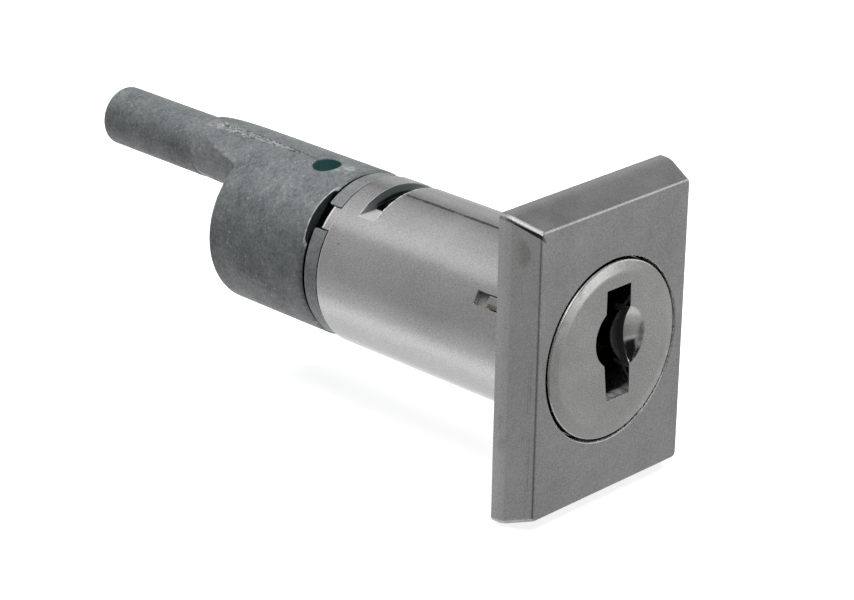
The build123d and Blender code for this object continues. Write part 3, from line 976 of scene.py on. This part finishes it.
def finishCore():
    face, colour, roughness, normal = platedFinish("faceNickel", plating["faceTone"], 0.24, 6.0, 0.010)
    x, y, z = face.axes()
    radius = (x * x + z * z) ** 0.5
    marks = faceMarks
    behindFront = face.between(y, *marks["flatFront"])
    # painted shade: the keyway is dark inside, and so is the head's side in its gap
    low = face.between(z, *marks["lowPart"])
    deep = face.between(y, *marks["shadeAbove"]) * (1.0 - low) + face.between(y, *marks["shadeBelow"]) * low
    side = face.between(radius, *marks["headSide"]) * face.between(y, *marks["headDepth"])
    shadePainted = face.mixed(deep.most(side) * marks["darkness"], colour, plating["dark"])
    # painted shade: the rib's milled front and a strip of the wall beside it are dark grey and not metallic
    depth, height = marks["cutter"]
    fromCutter = ((y - depth) ** 2.0 + (z - height) ** 2.0) ** 0.5
    rib = face.until(fromCutter.off(marks["cutterRadius"]), *marks["cutterEdge"])
    rib = rib * face.window(x, *marks["ribSpan"])
    lean, wallPlace = marks["wall"]
    wall = face.until((x + z * lean - wallPlace).off(0.0), *marks["wallEdge"])
    wall = wall * face.until(z.off(height), *marks["wallSpan"]) * face.until(y, *marks["wallDepth"])
    rib = rib.most(wall) * behindFront
    ribbed = face.mixed(rib, shadePainted, plating["rib"])
    # painted highlight: the lit edge of the keyway's floor is pale and not metallic
    patchy = face.between(face.noise(1.1, 3.0, 0.6), 0.42, 0.6, 0.45, 1.0)
    sill = face.window(z, *marks["sill"]) * face.window(x, *marks["sillSpan"])
    sill = sill * behindFront * face.until(y, *marks["sillDepth"]) * patchy
    silled = face.mixed(sill, ribbed, plating["paintedKeyway"])
    paintedKeyway = rib.most(sill)
    # the finger dish is polished
    dishX, dishZ = marks["dish"]
    fromDish = ((x - dishX) ** 2.0 + (z - dishZ) ** 2.0) ** 0.5
    dish = face.until(fromDish, *marks["dishRadius"]) * face.between(y, *marks["dishFront"])
    polished = roughness * (1.0 - dish * marks["dishPolish"]) + paintedKeyway * 0.3
    wear(["lock_core"], face.show(silled, polished, 1.0 - paintedKeyway * 0.85, normal))


casting = {
    "pale": (0.315, 0.335, 0.340),
    "middle": (0.212, 0.232, 0.236),
    "deep": (0.130, 0.148, 0.152),
    "hole": (0.10, 0.27, 0.27),
    "pit": (0.02, 0.03, 0.03),
    "fleck": (0.72, 0.74, 0.74),
    "shade": (0.012, 0.016, 0.017),
    "metallic": 0.30,
    "cloudSize": 3.2,
    "mottleSize": 0.55,
    "spotSize": 0.24,
    "shares": (0.30, 0.30, 0.40),  # of clouds, mottles and spots
    "toMiddle": (0.41, 0.5),  # mottling where deep turns to middle
    "toPale": (0.5, 0.60),
    "grainSpacing": 0.65,
    "grainRadius": (0.11, 0.19),  # as a share of the spacing
    "grainPatches": (0.50, 0.60),
    "grainStrength": 0.6,
    "pinholeSpacing": 1.3,
    "pinholeRadius": (0.04, 0.10),
    "pinholeStrength": 0.75,
    "bumpStrength": 0.5,
}


def castZinc(name, rough, bumpDepth, lift):
    # raw die-cast zinc: cloudy grey-green mottling over a fine pitted skin
    zinc = newFinish(name)
    broad = zinc.noise(casting["cloudSize"], 5.0, 0.65)
    fine = zinc.noise(casting["mottleSize"], 4.0, 0.7)
    spots = zinc.noise(casting["spotSize"], 3.0, 0.7)
    broadShare, fineShare, spotShare = casting["shares"]
    mottle = broad * broadShare + fine * fineShare + spots * spotShare + lift
    low = zinc.mixed(zinc.between(mottle, *casting["toMiddle"]), casting["deep"], casting["middle"])
    cloudy = zinc.mixed(zinc.between(mottle, *casting["toPale"]), low, casting["pale"])
    # tiny bright grains and dark pinholes in the skin
    grains = zinc.until(zinc.cells(casting["grainSpacing"]), *casting["grainRadius"])
    grains = grains * zinc.between(zinc.noise(1.6, shift=(5, 1, 3)), *casting["grainPatches"])
    grainy = zinc.mixed(grains * casting["grainStrength"], cloudy, casting["fleck"])
    pinholes = zinc.until(zinc.cells(casting["pinholeSpacing"], (2, 6, 4)), *casting["pinholeRadius"])
    colour = zinc.mixed(pinholes * casting["pinholeStrength"], grainy, casting["pit"])
    normal = zinc.bump(fine * 0.5 + spots * 0.6, casting["bumpStrength"], bumpDepth * mm)
    roughness = zinc.between(mottle, 0.38, 0.62, rough + 0.06, rough - 0.06)
    return zinc, colour, roughness, normal


castLine = {
    "start": (38.3, -0.57),  # y, x of the thin dark line on top of the driver
    "drift": 0.055,  # how far it moves in x with each mm of y
    "bandDrift": 0.088,  # the same for the far edge of the pale band
    "bandEdge": (-0.42, -0.22),  # x of that far edge at the start
    "bandSpan": ((39.5, 43.0), (54.4, 55.9)),  # y where the band fades in and out
    "top": (8.0, 8.3),  # z
    "flakeSize": 0.55,
    "flakeEdge": (0.42, 0.60),
    "lineHalf": (0.04, 0.11),
    "lineSpan": (38.5, 49.5, 1.0),  # y
    "patchY": (33.0, 34.5, 0.4),  # a pale patch in front of the hole
    "patchX": (-1.3, 0.3, 0.4),
    "strength": 0.45,
    "lineStrength": 0.8,
}


def partingLine(zinc, colour):
    # on top of the driver: a thin dark line, and beside it a pale flaky band that widens towards the pin
    x, y, z = zinc.axes()
    line = castLine
    startY, startX = line["start"]
    along = y - startY
    centre = along * line["drift"] + startX
    upper = zinc.between(z, *line["top"])
    fadeIn, fadeOut = line["bandSpan"]
    band = zinc.between(y, *fadeIn) * zinc.until(y, *fadeOut)
    farEdge = zinc.between(x + along * line["bandDrift"], *line["bandEdge"])
    band = band * zinc.between(x, centre, centre - 0.1) * farEdge
    flakes = zinc.between(zinc.noise(line["flakeSize"], 4.0, 0.7, (1, 0.5, 1)), *line["flakeEdge"])
    patch = zinc.window(y, *line["patchY"]) * zinc.window(x, *line["patchX"])
    pale = zinc.mixed(band.most(patch) * upper * flakes * line["strength"], colour, casting["fleck"])
    dark = zinc.until(x.off(centre), *line["lineHalf"]) * zinc.window(y, *line["lineSpan"]) * upper
    return zinc.mixed(dark * line["lineStrength"], pale, casting["pit"])


driverMarks = {
    "holePlace": 36.4,  # y
    "holeTurn": 5.3,  # how far the hole leans to the left, in degrees
    "holeRadius": (1.62, 1.68),
    "holeTop": (9.15, 9.35),
    "frontFace": (31.57, 31.60),  # y
    "rimSlope": (0.480, -0.463),  # how the slope on the front rim leans in x and z
    "rimSlopeEnd": (25.87, 25.90),
    "shadeStrength": 0.97,
    # where the painted highlight runs along the rim's edge, and its strength
    "highlightEdge": (25.93, 26.03, 0.04),
    "highlightStrength": 0.8,
    "flashY": (52.9, 55.4, 0.3),  # the pale line that the mould leaves low on the left side
    "flashZ": (3.55, 3.95, 0.12),
    "flashX": (-2.2, -2.4),
    "flashStrength": 0.35,
    "arc": (-2.3, 57.4),  # x, y of the middle of the scribed arc
    "arcRadius": 1.62,
    "arcHalf": (0.03, 0.10),
    "arcStart": (57.2, 57.6),  # y
    "arcHeight": (8.6, 8.8),  # z
    "arcStrength": 0.35,
}


def finishDriver():
    zinc, colour, roughness, normal = castZinc("rawZinc", 0.46, 0.05, 0.0)
    x, y, z = zinc.axes()
    marks = driverMarks
    turn = radians(marks["holeTurn"])
    acrossHole = x * cos(turn) + z * sin(turn)
    upHole = z * cos(turn) - x * sin(turn)
    fromHole = (acrossHole ** 2.0 + (y - marks["holePlace"]) ** 2.0) ** 0.5
    hole = zinc.until(fromHole, *marks["holeRadius"]) * zinc.until(upHole, *marks["holeTop"])
    holed = zinc.mixed(hole * 0.9, colour, casting["hole"])
    # the front face and the slope on its rim get painted shade, next to a painted highlight along the edge
    leanX, leanZ = marks["rimSlope"]
    fromSlope = y + x * leanX + z * leanZ
    shaded = zinc.until(y, *marks["frontFace"]).most(zinc.until(fromSlope, *marks["rimSlopeEnd"]))
    edge = zinc.window(fromSlope, *marks["highlightEdge"]) * zinc.between(zinc.noise(0.6), 0.40, 0.58, 0.3, 1.0)
    edgeHighlight = zinc.mixed(edge * marks["highlightStrength"], holed, casting["fleck"])
    lined = partingLine(zinc, edgeHighlight)
    flash = zinc.window(y, *marks["flashY"]) * zinc.window(z, *marks["flashZ"])
    flash = flash * zinc.between(x, *marks["flashX"])
    flashed = zinc.mixed(flash * marks["flashStrength"], lined, casting["fleck"])
    # a faint scribed arc near the pin's end
    arcX, arcY = marks["arc"]
    around = ((x - arcX) ** 2.0 + (y - arcY) ** 2.0) ** 0.5
    arc = zinc.until(around.off(marks["arcRadius"]), *marks["arcHalf"]) * zinc.between(y, *marks["arcStart"])
    arc = arc * zinc.between(z, *marks["arcHeight"]) * marks["arcStrength"]
    scribed = zinc.mixed(arc, flashed, casting["pit"])
    shadedColour = zinc.mixed(shaded * marks["shadeStrength"], scribed, casting["shade"])
    metallic = shaded * (1.0 - casting["metallic"]) + casting["metallic"]
    wear(["driver"], zinc.show(shadedColour, roughness, metallic, normal))


seamMarks = {
    "pitSize": 0.42,
    "pitEdge": (0.49, 0.40),
    "pitStrength": 0.85,
    "fleckSize": 0.30,
    "fleckEdge": (0.60, 0.68),
    "fleckStrength": 0.8,
}


def finishSeam():
    zinc, colour, roughness, normal = castZinc("seamZinc", 0.36, 0.03, 0.03)
    marks = seamMarks
    lined = partingLine(zinc, colour)
    pits = zinc.between(zinc.noise(marks["pitSize"], 3.0, 0.65, (1, 0.6, 1)), *marks["pitEdge"])
    pitted = zinc.mixed(pits * marks["pitStrength"], lined, casting["pit"])
    flecks = zinc.between(zinc.noise(marks["fleckSize"], 2.0, 0.6, (1, 0.7, 1), (4, 2, 9)), *marks["fleckEdge"])
    flecked = zinc.mixed(flecks * marks["fleckStrength"], pitted, casting["fleck"])
    material = zinc.show(flecked, roughness, casting["metallic"], normal)
    seamPiece.data.materials.clear()
    seamPiece.data.materials.append(material)


ringMarks = {
    "outside": (29.38, 31.12, 0.05),  # y between the ring's two end faces, which stay in shade
}


def finishRing():
    zinc, colour, roughness, normal = castZinc("ringMetal", 0.36, 0.02, 0.05)
    y = zinc.axes()[1]
    outside = zinc.window(y, *ringMarks["outside"])
    shaded = zinc.mixed(outside, casting["shade"], colour)
    metallic = casting["metallic"] + (1.0 - outside) * (1.0 - casting["metallic"])
    wear(["stop_ring"], zinc.show(shaded, roughness, metallic, normal))


# The metals inside, by tone, roughness, grain size and the stretch of the grain
insideMetals = {
    "waferBrass": ((0.66, 0.50, 0.25), 0.32, 0.5, (1, 1, 0.2)),
    # painted shade: near-black brass for the retaining wafer, which lies in the slot's shadow
    "shadowedBrass": ((0.030, 0.028, 0.024), 0.45, 0.5, (1, 1, 0.2)),
    "springSteel": ((0.55, 0.55, 0.56), 0.25, 0.3, (1, 1, 1)),
    "spindleSteel": ((0.50, 0.50, 0.51), 0.35, 0.4, (0.1, 1, 0.1)),
    "pinSteel": ((0.06, 0.16, 0.16), 0.40, 0.4, (1, 1, 1)),
    "shadow": 0.8,  # share of the tone in the darker grains
}


def plainMetal(name):
    metal = newFinish(name)
    tone, rough, grainSize, stretch = insideMetals[name]
    grain = metal.noise(grainSize, 3.0, 0.6, stretch)
    darker = tuple(insideMetals["shadow"] * each for each in tone)
    colour = metal.mixed(metal.between(grain, 0.35, 0.65), darker, tone)
    roughness = metal.between(grain, 0.3, 0.7, rough - 0.05, rough + 0.08)
    return metal.show(colour, roughness, 1.0, metal.bump(grain, 0.3, 0.01 * mm))


def finishInside():
    numbers = [str(i) for i in range(1, 8)]
    wear(["wafer_" + number for number in numbers], plainMetal("waferBrass"))
    # the retaining wafer is painted near black as shade
    wear(["retaining_wafer"], plainMetal("shadowedBrass"))
    wear(["wafer_spring_" + number for number in numbers] + ["retaining_spring"], plainMetal("springSteel"))
    wear(["drive_spindle"], plainMetal("spindleSteel"))
    wear(["driver_pin"], plainMetal("pinSteel"))


finishPlate()
finishHousing()
finishCore()
finishDriver()
finishSeam()
finishRing()
finishInside()
print("finishes set")
